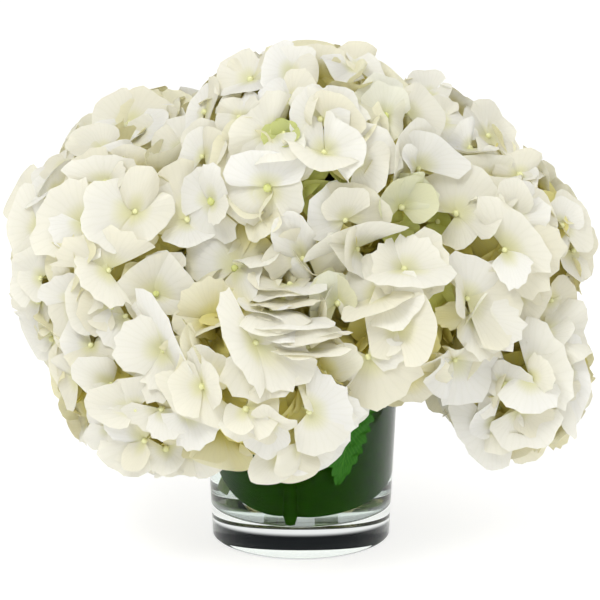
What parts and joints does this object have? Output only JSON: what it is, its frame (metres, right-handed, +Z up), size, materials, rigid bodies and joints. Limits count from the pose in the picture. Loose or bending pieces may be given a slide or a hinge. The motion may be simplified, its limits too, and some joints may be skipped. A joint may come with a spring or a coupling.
{
  "type": "hydrangeas in a vase",
  "caption": "Low rounded bouquet of white hydrangea heads spilling over a short clear glass vase lined with a dark green leaf and filled with water.",
  "frame": {"origin": "centre of the vase's flat base, on the surface that it stands on", "axes": "+Z up, -Y towards the front of the bouquet, +X to the right as seen from the front"},
  "size_m": [0.3219, 0.2763, 0.2888],
  "materials": {
    "glass": "clear polished soda-lime glass",
    "water": "clear still water",
    "leaf": "dark green smooth leaf with a soft gloss",
    "stem": "green plant skin, slightly waxy",
    "sepals": "thin white petal-like sepals, matt and translucent"
  },
  "bodies": {
    "root": {"vase": "glass", "water": "water", "lining_leaf": "leaf", "stem_top": "stem", "stem_left": "stem", "stem_right": "stem", "stem_low_left": "stem", "stem_low_right": "stem", "stem_front": "stem", "stem_middle": "stem", "stem_back_left": "stem", "stem_back_right": "stem", "stem_back": "stem", "head_top": "sepals", "head_left": "sepals", "head_right": "sepals", "head_low_left": "sepals", "head_low_right": "sepals", "head_front": "sepals", "head_middle": "sepals", "head_back_left": "sepals", "head_back_right": "sepals", "head_back": "sepals"}
  },
  "joints": []
}
